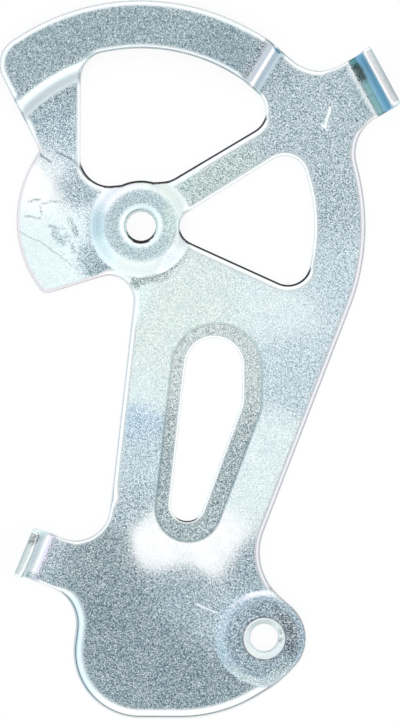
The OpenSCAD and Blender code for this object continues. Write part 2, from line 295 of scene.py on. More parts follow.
def boss_front(rho, boss):
    """Rise of a boss on the front, less its rounded mouth or its countersink."""
    slope = boss["foot"] - boss["top"] + 2 * boss["soft"]
    z = boss["rise"] * smooth((boss["foot"] + boss["soft"] - rho) / slope)
    if "mouth" in boss:
        r, rim = boss["mouth"], boss["bore"] + boss["mouth"]
        drop = r - np.sqrt(np.clip(r ** 2 - np.clip(rim - rho, 0, r) ** 2, 0, None))
        z = z - np.where(rho < rim, drop, 0)
    if "sink" in boss:
        z = z - np.clip(boss["bore"] + boss["sink"] - rho, 0, None)
    return z


def boss_back(z, rho, boss):
    """The back surface with a boss's hollow, and the collar round its bore."""
    z = z + double_bend(boss["foot"] - rho, boss["foot"] - boss["top"], boss["rise"], boss["bend"], False)
    wall, f = boss["bore"] + COLLAR, COLLAR_FILLET
    fillet = boss["rise"] - f + np.sqrt(np.clip(f ** 2 - np.clip(wall + f - rho, 0, f) ** 2, 0, None))
    z = np.where(rho < wall + f, fillet, z)
    return np.where(rho < wall + 0.005, 0.0, z)


def surface(x, y, top):
    """Height of the front or the back surface over the flat pattern, before the edges are rolled."""
    z = double_bend(rail_climb(x, y), JOGGLE_RUN, RAIL_RISE, JOGGLE_R, top) + (SHEET if top else 0.0)
    v = fan_reach(x, y)
    bent = np.where(v > FAN_BEND, v - FAN_BEND / 2, np.clip(v, 0, FAN_BEND) ** 2 / (2 * FAN_BEND))
    z = z + math.tan(math.radians(FAN_LIFT)) * bent
    for centre, boss in BOSSES:
        rho = np.hypot(x - centre[0], y - centre[1])
        z = z + boss_front(rho, boss) if top else boss_back(z, rho, boss)
    if top:
        z = z - LEDGE_DEPTH * smooth((inside_chain(x, y, LEDGE) + LEDGE_SLOPE / 2) / LEDGE_SLOPE)
    return z


def in_space(p, top, drop):
    """The points of one surface, pressed to shape and with the tabs folded up."""
    z = surface(p[:, 0], p[:, 1], top) - drop
    xyz = np.column_stack([p, z])
    for crease, angle, half in TABS:
        out = polar(1, angle)
        sideways = np.array([-out[1], out[0]])
        rel = p - np.asarray(crease)
        past, across = rel @ out, rel @ sideways
        turn = np.clip(past, 0, BEND_LEN) / NEUTRAL
        r = TAB_OUT - z
        up = TAB_OUT - r * np.cos(turn) + np.clip(past - BEND_LEN, 0, None)
        xy = np.asarray(crease) + (r * np.sin(turn))[:, None] * out + across[:, None] * sideways
        on_tab = (past > 0) & (np.abs(across) < half + TAB_MARGIN)
        xyz[on_tab] = np.column_stack([xy, up])[on_tab]
    return xyz


# The mesh: spacing along the edges and inside, and the shape of the rolled front edges
STEP, HEX_STEP = 0.36, 0.85
FIELD_X, FIELD_Y = (-24, 52), (-88, 42)
# Least distances: between two points, from the field to a guide and to a roll, from a guide to the edge
SAME_POINT, GUIDE_CLEAR, ROLL_CLEAR, EDGE_CLEAR = 0.012, 0.42, 0.55, 0.015
BORE_POINTS, BOSS_POINTS = 120, 168
ROLL_ANGLES = [14, 28, 42, 56, 70, 90]
ROLL_WIDTH, TAB_ROLL, BOSS_ROLL, FAN_ROLL, NOTCH_ROLL, SLOT_ROLL = 1.7, 0.45, 0.4, 0.38, 0.35, 0.4
# Depth of the roll as a share of its width. On the slot it is a quarter round.
ROLL_DEPTH = 0.68
# The narrow roll in the hollow of the outline above the lower tab
HOLLOW_AT, HOLLOW_ROLL = (-8, -52), 0.6
# Edges that turn by more than this are shaded sharp
SHARP_ANGLE = 38

OUTER, RAIL_WINDOW, THREE_CORNERED, SLOTTED, HUB_BORE, THREADED = range(6)
loops = [walk(OUTLINE, STEP), window_loop(STEP), opening_loop(TRIANGLE, STEP), opening_loop(SLOT, STEP),
         ring(HUB_AT, HUB["bore"], BORE_POINTS), ring(PULLEY_AT, PULLEY["bore"], BORE_POINTS)]


def off_fan(p):
    """0 on the fan's edges, 1 away from them."""
    return np.maximum(smooth((distance(p, FAN_AT) - 20.2) / 1.5), smooth((p[:, 0] + 8) / 5))


def outline_roll(p):
    """Width of the rolled front edge along the outline. It narrows by each tab, boss and notch."""
    x, y = p[:, 0], p[:, 1]

    def narrowed(width, least, centre, near, soft):
        return least + (width - least) * smooth((distance(p, centre) - near) / soft)

    width = np.full(len(p), ROLL_WIDTH)
    width = narrowed(width, TAB_ROLL, upper_point(-UPPER_TAB["shift"], UPPER_TAB["out"] + 2), 7.5, 4)
    width = narrowed(width, TAB_ROLL, lower_point(0, 2), 6, 4)
    width = narrowed(width, BOSS_ROLL, PULLEY_AT, 7.6, 2.5)
    width = np.where(y > -20, FAN_ROLL + (width - FAN_ROLL) * off_fan(p), width)
    right_side = 0.85 * smooth((x - 12) / 8) * smooth((y + 68) / 6)
    rail = 0.75 * smooth((y - 18) / 8)
    left_side = 0.8 * smooth((y + 50) / 6) * smooth((5 - x) / 4)
    width = np.minimum(width, ROLL_WIDTH - np.maximum(np.maximum(right_side, rail), left_side))
    width = np.minimum(width, narrowed(ROLL_WIDTH, HOLLOW_ROLL, HOLLOW_AT, 3.5, 3))
    return narrowed(width, NOTCH_ROLL, NOTCH_AT, 0.5, 4)


def opening_roll(p):
    """Width of the rolled edge of the two windows, wider where the edge faces up the picture."""
    near_hub = smooth((9.6 - distance(p, HUB_AT)) / 0.8)
    return 0.5 + 0.6 * smooth((p[:, 3] - 0.12) / 0.4) * (1 - near_hub)


loop_rolls = [outline_roll(loops[OUTER])]
loop_rolls += [opening_roll(loops[k]) for k in (RAIL_WINDOW, THREE_CORNERED)]
loop_rolls += [np.full(len(loops[SLOTTED]), SLOT_ROLL), np.zeros(BORE_POINTS), np.zeros(BORE_POINTS)]
edge_pts = np.vstack(loops)
edge_loop = np.concatenate([np.full(len(loop), k) for k, loop in enumerate(loops)])
edge_roll = np.concatenate(loop_rolls)


def tree_of(points):
    tree = KDTree(len(points))
    for i, p in enumerate(points):
        tree.insert((p[0], p[1], 0), i)
    tree.balance()
    return tree


edge_tree = tree_of(edge_pts)


def near_edge(p):
    """Distance to the boundary, and the nearest boundary point, for each point."""
    dist, nearest = np.empty(len(p)), np.empty(len(p), int)
    for i, (x, y) in enumerate(p):
        _, k, away = edge_tree.find((x, y, 0))
        ex, ey, nx, ny = edge_pts[k]
        dist[i] = abs((x - ex) * nx + (y - ey) * ny) if away < STEP else away
        nearest[i] = k
    return dist, nearest


def on_plate(p):
    """Even-odd test of points against all the boundary loops."""
    crossings = np.zeros(len(p), int)
    for loop in loops:
        for (x0, y0), (x1, y1) in zip(loop[:, :2], np.roll(loop[:, :2], -1, axis=0)):
            if y0 == y1:
                continue
            level = (p[:, 1] > min(y0, y1)) & (p[:, 1] <= max(y0, y1))
            crossings[level] += (x0 + (p[level, 1] - y0) * (x1 - x0) / (y1 - y0)) > p[level, 0]
    return crossings % 2 == 1


def guide_points():
    """Points that follow the rolled edges, the bosses, the ledge and the bends. Each comes with the
    least distance that it keeps from the boundary."""
    guides = []

    def add(points, least):
        guides.append(np.column_stack([points, np.broadcast_to(least, len(points))]))

    for loop, roll in zip(loops[:HUB_BORE], loop_rolls):
        for off in [roll * (1 - math.cos(math.radians(a))) for a in ROLL_ANGLES] + [roll + 0.3]:
            add(loop[:, :2] - loop[:, 2:] * off[:, None], off * 0.93)
    for centre, boss in BOSSES:
        bore, top = boss["bore"], boss["top"]
        radii = [bore + off for off in (0.061, 0.161, 0.301, 0.501, 0.721)]
        radii += [bore + COLLAR + off for off in (0.0, 0.01, 0.08, 0.18, 0.3, 0.55)]
        radii += list(np.linspace(top - 0.6, boss["foot"] + 0.4, 17))
        radii += [bore + boss["mouth"]] if "mouth" in boss else []
        radii += [bore + boss["sink"] - 0.03, bore + boss["sink"] + 0.03] if "sink" in boss else []
        radii += list(np.linspace(bore + 1.6, top - 1.0, 4))
        for r in radii:
            add(ring(centre, r, BORE_POINTS if r < 5 else BOSS_POINTS)[:, :2], 0.12)
    ledge = walk(LEDGE, STEP)
    for off in (-0.3, -0.16, -0.08, 0.0, 0.08, 0.16, 0.3):
        add(ledge[:, :2] - ledge[:, 2:] * off, 0.12)
    along, uphill = polar(1, JOGGLE_TURN), polar(1, JOGGLE_TURN + 90)
    for off in np.arange(-JOGGLE_RUN / 2 - 0.3, JOGGLE_RUN / 2 + 0.31, 0.2):
        add(np.array(JOGGLE_AT) + np.arange(-6, 6, 0.4)[:, None] * along + off * uphill, 0.3)
    turn = np.radians(np.arange(97, 150, 0.75))
    for off in np.arange(-0.3, JOGGLE_RUN + 0.31, 0.2):
        add((RAIL_INNER - JOGGLE_RUN + off) * np.stack([np.cos(turn), np.sin(turn)], 1), 0.3)
    for crease, angle, half in TABS:
        out, sideways = polar(1, angle), polar(1, angle + 90)
        across = np.arange(-half + 0.6, half - 0.5, 0.45)
        for past in np.arange(-0.2, TAB_LEN - 0.5, 0.3):
            add(np.asarray(crease) + past * out + across[:, None] * sideways, 0.3)
    return np.vstack(guides)


def field_points():
    """Points of an even triangular grid over the plate."""
    x = np.arange(*FIELD_X, HEX_STEP)
    rows = []
    for i, y in enumerate(np.arange(*FIELD_Y, HEX_STEP * 0.866)):
        rows.append(np.column_stack([x + i % 2 * HEX_STEP / 2, np.full(len(x), y)]))
    return np.vstack(rows)


def pattern():
    """The flat pattern: its points, its triangles and the point that stands for each edge point."""
    guides = guide_points()
    guides = guides[on_plate(guides)]
    fixed, least = guides[:, :2], guides[:, 2]
    fixed = fixed[near_edge(fixed)[0] > np.maximum(least, EDGE_CLEAR)]
    field = field_points()
    field = field[on_plate(field)]
    dist, nearest = near_edge(field)
    field = field[dist > edge_roll[nearest] + ROLL_CLEAR]
    fixed_tree = tree_of(fixed)
    field = np.array([p for p in field if fixed_tree.find((p[0], p[1], 0))[2] > GUIDE_CLEAR])
    inner = np.vstack([fixed, field])
    _, first = np.unique(np.round(inner / SAME_POINT).astype(int), axis=0, return_index=True)
    inner = inner[np.sort(first)]

    edges, base = [], 0
    for loop in loops:
        edges += [(base + i, base + (i + 1) % len(loop)) for i in range(len(loop))]
        base += len(loop)
    corners = [Vector(p) for p in np.vstack([edge_pts[:, :2], inner])]
    points, _, triangles, sources, _, _ = delaunay_2d_cdt(corners, edges, [], 0, 1e-7)
    flat = np.array([(p.x, p.y) for p in points])
    tri = np.array(list(triangles))
    tri = tri[on_plate(flat[tri].mean(1))]
    area = np.cross(flat[tri[:, 1]] - flat[tri[:, 0]], flat[tri[:, 2]] - flat[tri[:, 0]])
    tri = np.where((area < 0)[:, None], tri[:, ::-1], tri)
    stands_for = {old: new for new, olds in enumerate(sources) for old in olds if old < len(edge_pts)}
    return flat, tri, stands_for


flat, tri, stands_for = pattern()
# For each point of the pattern: the distance to the nearest edge, and that edge's roll, loop and normal
dist, nearest = near_edge(flat)
dist[list(stands_for.values())] = 0.0
roll, of_loop = edge_roll[nearest], edge_loop[nearest]
edge_nx, edge_ny = edge_pts[nearest, 2], edge_pts[nearest, 3]
hub_rho, pulley_rho = distance(flat, HUB_AT), distance(flat, PULLEY_AT)

drop = np.where(dist < roll, roll - np.sqrt(np.clip(roll ** 2 - (roll - dist) ** 2, 0, None)), 0)
drop = drop * np.where(of_loop < SLOTTED, ROLL_DEPTH, 1.0)
front, back = in_space(flat, True, drop), in_space(flat, False, 0.0)


def wall_rings(k, up, low):
    """Rings of points down a cut wall, between its front and its back rim."""
    if k != THREADED:
        return [(up + low) / 2]
    turn = np.arctan2(up[:, 1] - PULLEY_AT[1], up[:, 0] - PULLEY_AT[0])
    rings = []
    for t in np.arange(1, THREAD_ROWS) / THREAD_ROWS:
        z = up[:, 2] * (1 - t) + low[:, 2] * t
        phase = (z / THREAD_PITCH - turn / math.tau) % 1.0
        run_out = min(1, t * 5, (1 - t) * 5)
        r = PULLEY["bore"] + THREAD_DEPTH * run_out * np.clip(1 - np.abs(phase - 0.5) / 0.42, 0, 1)
        x, y = PULLEY_AT[0] + r * np.cos(turn), PULLEY_AT[1] + r * np.sin(turn)
        rings.append(np.column_stack([x, y, z]))
    return rings


used = np.unique(tri)
remap = np.full(len(flat), -1)
remap[used] = np.arange(len(used))
points = [front[used], back[used]]
faces = [tuple(remap[t]) for t in tri] + [tuple(remap[t][::-1] + len(used)) for t in tri]
total = 2 * len(used)
# The edge points that each ring of a wall hangs under
wall_rims = []
base = 0
for k, loop in enumerate(loops):
    rim = [stands_for[base + i] for i in range(len(loop))]
    rim = [point for i, point in enumerate(rim) if point != rim[i - 1]]
    base += len(loop)
    rows = [remap[rim]]
    for between in wall_rings(k, front[rim], back[rim]):
        points.append(between)
        wall_rims.append(rim)
        rows.append(np.arange(len(rim)) + total)
        total += len(rim)
    rows.append(remap[rim] + len(used))
    for above, below in zip(rows, rows[1:]):
        quads = np.stack([above, below, np.roll(below, -1), np.roll(above, -1)], 1)
        faces += [tuple(quad) for quad in quads.tolist()]

mesh = bpy.data.meshes.new("plate")
mesh.from_pydata((np.vstack(points) * MM).tolist(), [], faces)
mesh.update()
plate = bpy.data.objects.new("plate", mesh)
bpy.context.scene.collection.objects.link(plate)
bm = bmesh.new()
bm.from_mesh(mesh)
bmesh.ops.recalc_face_normals(bm, faces=bm.faces)
bm.to_mesh(mesh)
bm.free()
for face in mesh.polygons:
    face.use_smooth = True
mesh.set_sharp_from_angle(angle=math.radians(SHARP_ANGLE))

# Colours of the painted reflections, highlights and shade on the flats, which also carry the coating's
# own tint changes, and where each one lies as soft spots: x, y and size. The white spots are painted
# highlights.
SHEEN_COLOURS = {
    "steel": (0.34, 0.45, 0.48), "silver": (0.59, 0.72, 0.77), "green silver": (0.65, 0.78, 0.74),
    "grey": (0.43, 0.56, 0.62), "dark": (0.26, 0.37, 0.42), "white": (1.06, 1.06, 1.06),
    "ice": (0.84, 0.97, 0.98), "pale green": (0.82, 0.95, 0.89), "pale blue": (0.69, 0.84, 0.90),
    "blue": (0.64, 0.84, 1.00),
}
SHEEN_SPOTS = {
    "steel": [(-14, 27, 6), (0, 35.5, 9), (16, 32.5, 8), (-9, -58, 4), (42, 24, 3)],
    "silver": [(28, 19, 8), (33, 6, 8), (-13, 14, 5), (13, -69, 4), (-3, -47, 3), (-16, -56, 3)],
    "green silver": [(14, 9, 6)],
    "grey": [(-17, 19, 4), (-12, 7, 2.5), (-8.5, -5.5, 1.8), (7, -64, 4), (19, -60, 3.5)],
    "white": [(-17.5, 8.5, 4.5), (4.5, -55.5, 3.5), (12.5, -55.5, 4)],
    "ice": [(-17, -4, 6), (25, -14, 5), (21, -42, 6), (-1, -27, 3.5)],
    "pale green": [(6, -13, 6), (1, -21, 5)],
    "pale blue": [(34, -8, 6), (27, -24, 5), (-2, -41, 4)],
    "blue": [(-1.5, -34, 2.4)],
    "dark": [(-6, -71, 7), (8, -79, 7), (-7, -7.5, 1.2)],
}
PLAIN, PLAIN_WEIGHT = (0.62, 0.76, 0.80), 0.01

# Painted reflections and shade across the joggles and the tab folds, in order: from, to, soft ends and
# colour.
LEFT_JOGGLE_LIGHT_BANDS = [
    (0.0, 1.8, 1.2, (0.50, 0.58, 0.60)), (1.8, 3.3, 0.9, (0.76, 0.86, 0.85)),
    (3.3, 4.0, 0.4, (0.46, 0.56, 0.58)),
]
RIGHT_JOGGLE_LIGHT_BANDS = [
    (-0.3, 1.6, 0.3, (0.40, 0.51, 0.56)), (1.6, 2.2, 0.3, (1.0, 1.0, 1.0)),
    (2.2, 4.0, 0.3, (0.42, 0.48, 0.52)),
]
UPPER_TAB_LIGHT_BANDS = [
    (-0.3, 0.2, 0.3, (0.95, 0.97, 0.97)), (0.3, 2.4, 0.5, (0.05, 0.20, 0.22)),
    (2.2, 8.4, 0.8, (0.24, 0.54, 0.76)), (8.5, 12.0, 0.3, (1.1, 1.07, 1.08)),
]
LOWER_TAB_LIGHT_BANDS = [
    (0.0, 1.6, 0.4, (0.62, 0.62, 0.72)), (1.6, 2.3, 0.3, (1.0, 1.0, 1.0)),
    (2.3, 8.6, 0.4, (0.92, 1.1, 1.1)), (8.6, 12.0, 0.3, (1.0, 1.1, 1.06)),
]
# Painted shade in the corner of the upper tab's fold
UPPER_TAB_FOLD_SHADE = (0.01, 0.02, 0.02)

# Painted light and shade round the bosses, on their slopes, rims and countersink, in order: colour,
# strength, radii with soft ends, and directions with soft ends where the tint isn't a full ring.
SLOPE = (6.0, 9.1, 1.6)
HUB_LIGHT_BANDS = [
    ((0.80, 0.87, 0.84), 0.95, SLOPE, None),
    ((0.84, 0.86, 0.90), 0.8, SLOPE, (100, 150, 40)),
    ((0.44, 0.60, 0.66), 0.8, SLOPE, (158, 202, 30)),
    ((0.64, 0.80, 0.84), 0.8, SLOPE, (200, 230, 30)),
    ((0.56, 0.60, 0.61), 0.7, SLOPE, (-30, 6, 20)),
    ((0.66, 0.75, 0.82), 0.7, SLOPE, (-62, -38, 20)),
    ((0.50, 0.63, 0.66), 0.8, (3.9, 6.0, 1.2), None),
    ((0.70, 0.82, 0.78), 0.8, (4.4, 6.8, 1.2), (-25, 40, 25)),
    ((0.84, 0.92, 0.92), 1.0, (0.0, 3.8, 0.4), None),
    ((0.62, 0.78, 0.79), 1.0, (2.9, 3.5, 0.3), (40, 140, 50)),
    ((0.36, 0.42, 0.42), 0.7, (9.0, 9.35, 0.3), (-100, -30, 30)),
]
PULLEY_LIGHT_BANDS = [
    ((0.36, 0.49, 0.57), 0.9, (3.6, 7.0, 0.6), None),
    ((0.10, 0.13, 0.15), 0.8, (4.0, 5.9, 1.2), (-35, 65, 40)),
    ((0.14, 0.18, 0.22), 0.6, (3.6, 4.0, 0.4), None),
    ((0.50, 0.64, 0.72), 0.9, (7.0, 8.6, 0.8), (100, 260, 60)),
    ((0.64, 0.71, 0.77), 0.9, (7.3, 8.3, 0.6), (110, 165, 40)),
    ((0.90, 0.91, 0.95), 0.9, (7.4, 8.3, 0.5), (72, 118, 25)),
    ((0.62, 0.72, 0.72), 0.9, (7.0, 8.4, 0.6), (220, 280, 40)),
    ((0.60, 0.72, 0.70), 0.8, (5.8, 7.2, 1.0), (-85, -40, 25)),
    ((0.14, 0.18, 0.18), 0.6, (8.5, 9.1, 0.4), (220, 255, 20)),
    ((0.90, 0.96, 0.95), 1.0, (2.4, 3.6, 0.15), None),
    ((1.1, 1.1, 1.1), 1.0, (3.3, 3.6, 0.1), (120, 240, 40)),
    ((0.66, 0.76, 0.77), 1.0, (2.6, 3.2, 0.3), (60, 150, 40)),
]
# Width of the painted shade on the openings' edges that face up the picture, and how far they must face up.
# Then the widest painted shade in the hub bore's mouth.
LIPS = {RAIL_WINDOW: (0.42, 0.12), THREE_CORNERED: (0.38, 0.12), SLOTTED: (0.24, 0.65)}
BORE_LIP = 0.62

climb = rail_climb(flat[:, 0], flat[:, 1])
past_upper = flat @ polar(1, UPPER_TAB["angle"]) - UPPER_TAB["out"]
across_upper = flat @ polar(1, UPPER_TAB["angle"] - 90) + UPPER_TAB["shift"]
past_lower = (flat - np.array(LOWER_TAB["at"])) @ polar(1, LOWER_TAB["angle"])
# The edges of the fan and of the outline beside it
fan_edge = (1 - off_fan(flat)) * (flat[:, 1] > -16)


def flats_sheen_coat():
    """Colour of the coating before the forming, with the painted reflections, highlights and shade of the
    flats.
    """
    total = np.full((len(flat), 3), PLAIN) * PLAIN_WEIGHT
    weight = np.full(len(flat), PLAIN_WEIGHT)
    for tint, spots in SHEEN_SPOTS.items():
        for x, y, size in spots:
            share = np.exp(-distance(flat, (x, y)) ** 2 / size ** 2)
            total += share[:, None] * SHEEN_COLOURS[tint]
            weight += share
    return total / weight[:, None]


def lit_front_coat(out):
    """The front: the coating with a greenish grey ledge that is darker towards the bottom, and the painted
    reflections, highlights and shade of the rolled edges, the bends, the tabs and the bosses.
    """
    y = flat[:, 1]
    # the ledge round the slot, greenish grey and darker towards the bottom
    ledge = smooth((inside_chain(flat[:, 0], y, LEDGE) + 0.1) / 0.2)
    out = blend(out, (0.70, 0.78, 0.76), ledge * 0.9)
    out = blend(out, (0.45, 0.56, 0.58), ledge * smooth((-26 - y) / 16) * 0.85)
    # painted reflections on the rolled edges: pale, bluer where they face left low down, grey where they
    # face right, pinkish round the fan
    rolled = smooth((roll - dist) / 0.5 + 0.7)
    out = blend(out, (0.84, 0.89, 0.90), rolled)
    rolled = rolled * (of_loop == OUTER)
    out = blend(out, (0.62, 0.74, 0.80), rolled * smooth((-edge_nx - 0.5) / 0.4) * smooth((-52 - y) / 6))
    out = blend(out, (0.68, 0.69, 0.72), rolled * smooth((edge_nx - 0.4) / 0.4))
    out = blend(out, (0.84, 0.80, 0.83), rolled * fan_edge)
    left = flat[:, 0] < 0
    # painted reflections and shade across the joggles and the tab folds
    for along, where, tints in ((climb, left, LEFT_JOGGLE_LIGHT_BANDS), (climb, ~left, RIGHT_JOGGLE_LIGHT_BANDS),
                                (past_upper, np.abs(across_upper) < 6.5, UPPER_TAB_LIGHT_BANDS),
                                (past_lower, distance(flat, LOWER_TAB["at"]) < 11, LOWER_TAB_LIGHT_BANDS)):
        for lo, hi, soft, colour in tints:
            out = blend(out, colour, band(along, lo, hi, soft) * where)
    # painted shade in the corner of the upper tab's fold
    fold_shade = band(past_upper, 0.5, 2.4, 1.0) * band(across_upper, -4.2, -0.8, 1.5)
    out = blend(out, UPPER_TAB_FOLD_SHADE, fold_shade * 0.8)
    # painted light and shade round the bosses
    for rho, centre, tints in ((hub_rho, HUB_AT, HUB_LIGHT_BANDS), (pulley_rho, PULLEY_AT, PULLEY_LIGHT_BANDS)):
        azimuth = np.degrees(np.arctan2(y - centre[1], flat[:, 0] - centre[0]))
        for colour, strength, radii, directions in tints:
            share = band(rho, *radii) * strength
            if directions:
                share = share * round_band(azimuth, *directions)
            out = blend(out, colour, share)
    return out


def painted_edge_shade():
    """Painted shade on the openings' edges that face up the picture and in the hub bore, in fine lines along
    the outline, and in rings round the countersink.
    """
    dark = np.zeros(len(flat))
    for k, (width, least) in LIPS.items():
        lip = smooth((edge_ny - least) / 0.3) * (1 - smooth((dist - width) / 0.1 + 0.5))
        dark = np.where(of_loop == k, lip, dark)
    width = BORE_LIP * np.clip(edge_ny, 0, 1) ** 1.5
    lip = smooth((edge_ny - 0.12) / 0.3) * (1 - smooth((dist - width) / 0.1 + 0.5))
    dark = np.where(of_loop == HUB_BORE, lip, dark)
    in_roll = 0.28 + 0.3 * smooth((-48 - flat[:, 1]) / 6)
    line = in_roll * band(dist, 0.28, 0.50, 0.12) * smooth((roll - 0.7) / 0.5)
    line = np.maximum(line, 0.16 * (1 - smooth((dist - 0.25) / 0.1)))
    line = np.maximum(line, 0.32 * fan_edge * (1 - smooth((dist - 0.06) / 0.1)))
    dark = np.where(of_loop == OUTER, line, dark)
    rims = np.maximum(0.5 * band(pulley_rho, 3.6, 3.75, 0.1), 0.3 * band(pulley_rho, 2.4, 2.6, 0.1))
    return np.maximum(dark, rims)


def satin():
    """Where the coating lies dull over a formed surface: countersink, tabs and partly the pulley boss."""
    out = np.maximum(0.75 * band(pulley_rho, 2.0, 3.62, 0.1), 0.35 * band(pulley_rho, 6.4, 9.0, 0.6))
    past = np.maximum(past_upper, past_lower)
    return np.maximum(out, 0.8 * smooth((past - 1.2) / 0.6) - 0.45 * smooth((past - 8.3) / 0.3))


def on_mesh(front, back, wall):
    """Values given for the flat pattern, spread over the front, the back and the cut walls."""
    return np.concatenate([front[used], back[used]] + [wall[rim] for rim in wall_rims])


def polish():
    """How smooth the coating lies: 1 on rolled edges and bends, 0 on the grained flats."""
    normals = np.zeros(total * 3)
    mesh.vertices.foreach_get("normal", normals)
    bent = smooth((1 - np.abs(normals.reshape(-1, 3)[:, 2]) - 0.003) / 0.05)
    edge = smooth((roll - dist) / 0.6 + 0.7)
    on_pulley_boss = smooth((pulley_rho - 3.8) / 0.3) * smooth((8.9 - pulley_rho) / 0.3)
    on_hub_slope = smooth((hub_rho - 5.8) / 1.0) * smooth((9.4 - hub_rho) / 1.0)
    kept = (1 - 0.75 * on_pulley_boss) * (1 - 0.3 * on_hub_slope)
    x, y = flat[:, 0], flat[:, 1]
    fan = smooth((-11.5 - x) / 4) * smooth((11 - y) / 3) * (y > -16)
    least = np.maximum(0.35 * smooth((6.8 - hub_rho) / 0.6), 0.5 * fan)
    least = np.maximum(least, 0.22 * smooth((climb - JOGGLE_RUN) / 0.8))
    bent = np.maximum(bent, on_mesh(edge, edge, np.ones(len(flat))))
    return np.maximum(bent * on_mesh(kept, kept, kept), on_mesh(least, least, least))


# The coating with the painted light and shade of the flats. The front then takes the painted light and shade
# of its edges, bends, tabs and bosses, and the back keeps the first.
plain = flats_sheen_coat()
formed = lit_front_coat(plain)
colour = on_mesh(formed, plain, (formed + plain) / 2)
att = mesh.attributes.new("coat", "FLOAT_COLOR", "POINT")
att.data.foreach_set("color", np.column_stack([colour, np.ones(total)]).astype(np.float32).ravel())
lip, dull = painted_edge_shade(), satin()
for name, values in (("polish", polish()), ("shaded_edge", on_mesh(lip, lip * 0, lip * 0.15)),
                     ("satin", on_mesh(dull, dull * 0, dull * 0.5))):
    att = mesh.attributes.new(name, "FLOAT", "POINT")
    att.data.foreach_set("value", values.astype(np.float32))

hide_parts("cage_plate")
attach(plate, "root")

# Marks on the front: from, to, half width, soft edge, strength and colour.
MARKS = [
    # the long scratch across the fan
    ((-21.0, -0.9), (-15.8, -3.8), 0.06, 0.12, 0.5, (0.35, 0.42, 0.45)),
    ((-15.8, -3.8), (-11.0, -7.8), 0.06, 0.12, 0.5, (0.35, 0.42, 0.45)),
    # scuffs on the fan
    ((-19.5, 4.3), (-17.6, 4.7), 0.05, 0.25, 0.9, (0.20, 0.26, 0.28)),
    ((-17.2, 4.0), (-14.2, 4.2), 0.05, 0.25, 0.9, (0.22, 0.28, 0.30)),
    ((-17.6, 3.6), (-17.2, 2.2), 0.05, 0.25, 0.8, (0.24, 0.30, 0.32)),
    ((-20.0, 1.6), (-17.5, 1.5), 0.08, 0.25, 0.9, (0.20, 0.26, 0.28)),
    ((-16.0, -0.2), (-13.6, -0.4), 0.1, 0.4, 0.9, (0.24, 0.34, 0.37)),
    ((-15.0, -1.4), (-13.6, -2.6), 0.5, 0.6, 0.9, (0.22, 0.33, 0.36)),
    ((-12.8, -1.6), (-12.4, -2.4), 0.3, 0.4, 0.8, (0.26, 0.36, 0.39)),
    ((-11.9, -3.2), (-11.5, -4.6), 0.22, 0.3, 0.9, (0.30, 0.36, 0.36)),
    ((-12.4, 1.2), (-11.2, -1.6), 0.2, 0.4, 0.9, (0.16, 0.24, 0.26)),
    # dark lines and a faint dark band between the notch and the hub
    ((-17.6, 12.4), (-15.5, 11.0), 0.08, 0.2, 0.7, (0.16, 0.22, 0.24)),
    ((-15.0, 12.9), (-12.2, 11.7), 0.08, 0.15, 0.7, (0.16, 0.22, 0.24)),
    ((-12.2, 11.7), (-8.9, 8.0), 0.08, 0.15, 0.6, (0.20, 0.26, 0.28)),
    ((-19.5, 13.5), (-12.5, 5.5), 0.5, 0.9, 0.3, (0.20, 0.30, 0.34)),
    # the shade at the foot of the hub boss
    ((-1.0, -9.9), (4.2, -8.7), 0.3, 0.5, 0.9, (0.22, 0.28, 0.28)),
    ((-1.2, -9.5), (-0.8, -10.6), 0.3, 0.4, 1.0, (0.14, 0.19, 0.19)),
    # bright scratches by the upper tab and the pulley boss
    ((32.9, 20.8), (32.1, 17.3), 0.14, 0.2, 0.9, (0.96, 1.0, 1.0)),
    ((32.1, 17.3), (31.5, 17.2), 0.12, 0.2, 0.8, (0.96, 1.0, 1.0)),
    ((31.5, 17.6), (32.4, 16.7), 0.1, 0.2, 0.7, (0.96, 1.0, 1.0)),
    ((10.0, -65.8), (13.4, -67.4), 0.07, 0.12, 0.7, (0.95, 0.98, 1.0)),
    # dark spots on the lower tab, a pale streak along the upper tab's crease, and painted shade in the
    # corner of the upper tab's fold and of the thread in the threaded hole
    ((-18.4, -60.8), (-19.2, -60.6), 0.4, 0.4, 0.9, (0.12, 0.22, 0.24)),
    ((38.0, 26.8), (41.3, 20.3), 0.7, 0.7, 0.5, (0.45, 0.62, 0.62)),
    ((37.4, 27.6), (38.4, 25.8), 0.5, 0.5, 1.0, (0.005, 0.01, 0.01)),
    ((-17.9, -53.9), (-18.6, -54.4), 0.4, 0.5, 1.0, (0.20, 0.17, 0.18)),
    ((24.1, -70.4), (24.2, -70.8), 0.1, 0.3, 0.9, (0.10, 0.13, 0.12)),
    ((24.2, -71.9), (24.1, -72.4), 0.1, 0.3, 0.9, (0.10, 0.13, 0.12)),
]
# A mark with a softer edge than this is broken up by the grain.
BROKEN_SOFT = 0.2
PIT_COLOUR, CLOUD_COLOUR, GLINT_COLOUR = (0.10, 0.17, 0.22, 1), (0.55, 0.66, 0.72, 1), (1.0, 1.0, 1.0, 1)
FILM_BLUE, FILM_PINK, EDGE_SHADE_COLOUR = (0.88, 0.95, 0.97, 1), (0.95, 0.93, 0.97, 1), (0.03, 0.03, 0.035, 1)
GRAIN_HEIGHT = 0.00006


